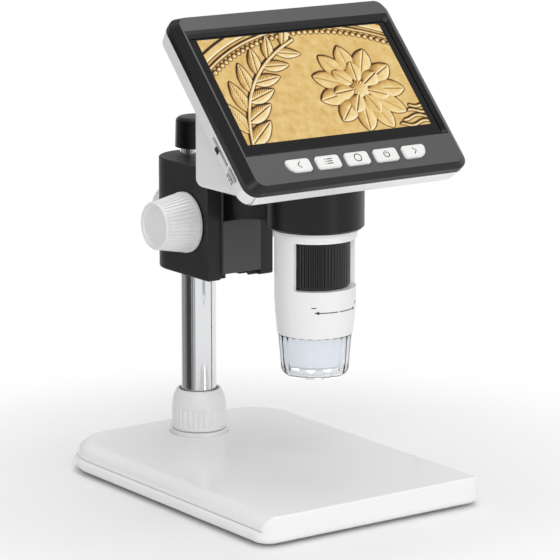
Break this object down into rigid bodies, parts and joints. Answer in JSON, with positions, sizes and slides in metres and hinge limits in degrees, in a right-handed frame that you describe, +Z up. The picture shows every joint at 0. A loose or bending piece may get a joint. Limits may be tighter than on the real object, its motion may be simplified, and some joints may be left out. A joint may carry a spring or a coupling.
{
  "type": "lcd digital microscope",
  "caption": "Desktop digital microscope: tilted colour display on a lensed tube with ring light, held by a rack-focused arm on a chrome pillar over a weighted white base.",
  "frame": {"origin": "middle of the base's footprint, on the surface that the feet stand on", "axes": "+Z up, +Y from the display towards the pillar, +X to the right of a person reading the display"},
  "size_m": [0.118, 0.165, 0.2127],
  "materials": {
    "white_abs": "moulded ABS, satin gloss",
    "white_knob": "moulded ABS, satin",
    "black_abs": "moulded ABS, fine matt texture",
    "bezel_black": "moulded, satin gloss",
    "chrome_tube": "polished chrome plate",
    "black_metal": "matt black powder coat",
    "steel": "plain",
    "dark_screw": "blackened",
    "brass": "turned",
    "foot_rubber": "matt",
    "key_rubber": "matt",
    "clear_plastic": "clear moulded acrylic",
    "screen_glass": "clear cover sheet",
    "lens_glass": "polished",
    "panel": "lit picture",
    "board_green": "solder mask",
    "board_white": "white solder mask",
    "lamp": "lit",
    "battery_wrap": "shrink wrap",
    "chip": "moulded",
    "cable": "polyimide film"
  },
  "bodies": {
    "base": {"base_top_shell": "white_abs", "base_bottom_tray": "white_abs", "rubber_feet": "foot_rubber", "ballast_plate": "steel", "base_screws": "steel", "pillar_flange": "white_abs", "flange_screws": "steel"},
    "collar": {"collar_nut": "white_knob"},
    "pillar": {"pillar_tube": "chrome_tube", "pillar_cap": "black_abs"},
    "bracket": {"bracket_body": "black_metal", "shaft_bushes": "brass", "clamp_shoe": "brass"},
    "lock": {"lock_screw": "steel", "lock_knob": "white_knob"},
    "focus_shaft": {"pinion_shaft": "steel", "pinion_gear": "brass", "focus_knob_left": "white_knob", "focus_knob_right": "white_knob"},
    "carriage": {"gear_rack": "brass", "carriage_plate": "black_metal", "arm_screws": "dark_screw", "holder_arm": "black_metal", "ring_liner": "black_abs"},
    "head": {"tube_shell": "white_abs", "tube_screws": "steel", "sensor_board": "board_green", "image_sensor": "chip", "sensor_cable": "cable", "led_carrier": "white_abs", "led_board": "board_white", "leds": "lamp", "clear_nose": "clear_plastic", "rear_shell": "white_abs", "housing_screws": "dark_screw", "front_bezel": "bezel_black", "cover_glass": "screen_glass", "lcd_panel": "panel", "key_pad": "key_rubber", "main_board": "board_green", "battery": "battery_wrap", "card_socket": "steel", "power_port": "steel"},
    "wheel": {"focus_wheel": "black_abs"},
    "barrel": {"lens_barrel": "black_metal", "objective_lens": "lens_glass", "lens_retainer": "black_metal"},
    "key_back": {"button_back": "white_knob"},
    "key_menu": {"button_menu": "white_knob"},
    "key_confirm": {"button_confirm": "white_knob"},
    "key_power": {"button_power": "white_knob"},
    "key_forward": {"button_forward": "white_knob"}
  },
  "joints": [
    {"name": "collar_turn", "type": "hinge", "parent": "base", "child": "collar", "pos_m": [0, 0.0517, 0.0158], "axis": [0, 0, 1], "range_deg": [-15, 180]},
    {"name": "pillar_swivel", "type": "hinge", "parent": "base", "child": "pillar", "pos_m": [0, 0.0517, 0.0062], "axis": [0, 0, 1], "range_deg": [-180, 180]},
    {"name": "bracket_slide", "type": "slide", "parent": "pillar", "child": "bracket", "axis": [0, 0, 1], "range_m": [-0.0335, 0.0035]},
    {"name": "lock_turn", "type": "hinge", "parent": "bracket", "child": "lock", "pos_m": [0, 0.0694, 0.115], "axis": [0, 1, 0], "range_deg": [-180, 15]},
    {"name": "carriage_slide", "type": "slide", "parent": "bracket", "child": "carriage", "axis": [0, 0, 1], "range_m": [-0.01, 0.01]},
    {"name": "knob_turn", "type": "hinge", "parent": "bracket", "child": "focus_shaft", "pos_m": [0, 0.035, 0.115], "axis": [1, 0, 0], "range_deg": [-96, 96]},
    {"name": "head_lift", "type": "slide", "parent": "carriage", "child": "head", "axis": [0, 0, 1], "range_m": [0, 0.085]},
    {"name": "focus_wheel_turn", "type": "hinge", "parent": "head", "child": "wheel", "pos_m": [0, -0.0373, 0.1076], "axis": [0, 0, 1], "range_deg": [-150.5, 150.5]},
    {"name": "lens_travel", "type": "slide", "parent": "head", "child": "barrel", "axis": [0, 0, 1], "range_m": [-0.005, 0.005]},
    {"name": "press_back", "type": "slide", "parent": "head", "child": "key_back", "axis": [0, 0.723, -0.6909], "range_m": [0, 0.0008], "stiffness_N_per_m": 500},
    {"name": "press_menu", "type": "slide", "parent": "head", "child": "key_menu", "axis": [0, 0.723, -0.6909], "range_m": [0, 0.0008], "stiffness_N_per_m": 500},
    {"name": "press_confirm", "type": "slide", "parent": "head", "child": "key_confirm", "axis": [0, 0.723, -0.6909], "range_m": [0, 0.0008], "stiffness_N_per_m": 500},
    {"name": "press_power", "type": "slide", "parent": "head", "child": "key_power", "axis": [0, 0.723, -0.6909], "range_m": [0, 0.0008], "stiffness_N_per_m": 500},
    {"name": "press_forward", "type": "slide", "parent": "head", "child": "key_forward", "axis": [0, 0.723, -0.6909], "range_m": [0, 0.0008], "stiffness_N_per_m": 500}
  ],
  "couplings": [
    {"joint": "knob_turn", "follows": "carriage_slide", "rad_per_m": -166.67},
    {"joint": "focus_wheel_turn", "follows": "lens_travel", "rad_per_m": 523.6}
  ]
}
